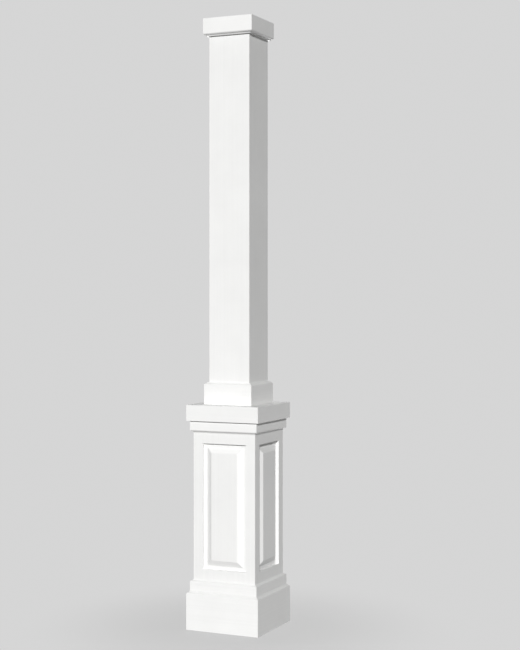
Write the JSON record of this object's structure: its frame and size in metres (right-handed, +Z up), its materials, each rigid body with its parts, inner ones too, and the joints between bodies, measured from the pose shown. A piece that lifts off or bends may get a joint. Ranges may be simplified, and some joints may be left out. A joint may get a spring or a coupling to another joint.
{
  "type": "porch column wrap",
  "caption": "Hollow square column wrap for a porch post: panelled pedestal with moulded base and flat cap, plain shaft with a collar and a moulded capital.",
  "frame": {"origin": "on the ground in the middle of the plinth", "axes": "+Z up the column, -Y out of the front, +X out of the right side; all four sides are alike"},
  "size_m": [0.3144, 0.3144, 2.4384],
  "materials": {
    "sheet_white": "satin white cellular board",
    "trim_white": "satin white moulded trim"
  },
  "bodies": {
    "root": {"plinth_front": "trim_white", "plinth_right": "trim_white", "plinth_back": "trim_white", "plinth_left": "trim_white", "base_moulding_front": "trim_white", "base_moulding_right": "trim_white", "base_moulding_back": "trim_white", "base_moulding_left": "trim_white", "pedestal_frame_front": "sheet_white", "pedestal_frame_right": "sheet_white", "pedestal_frame_back": "sheet_white", "pedestal_frame_left": "sheet_white", "raised_panel_front": "sheet_white", "raised_panel_right": "sheet_white", "raised_panel_back": "sheet_white", "raised_panel_left": "sheet_white", "neck_moulding_front": "trim_white", "neck_moulding_right": "trim_white", "neck_moulding_back": "trim_white", "neck_moulding_left": "trim_white", "cap_fascia_front": "trim_white", "cap_fascia_right": "trim_white", "cap_fascia_back": "trim_white", "cap_fascia_left": "trim_white", "cap_plate": "sheet_white", "shaft_board_front": "sheet_white", "shaft_board_right": "sheet_white", "shaft_board_back": "sheet_white", "shaft_board_left": "sheet_white", "collar_front": "trim_white", "collar_right": "trim_white", "collar_back": "trim_white", "collar_left": "trim_white", "capital_front": "trim_white", "capital_right": "trim_white", "capital_back": "trim_white", "capital_left": "trim_white"}
  },
  "joints": []
}
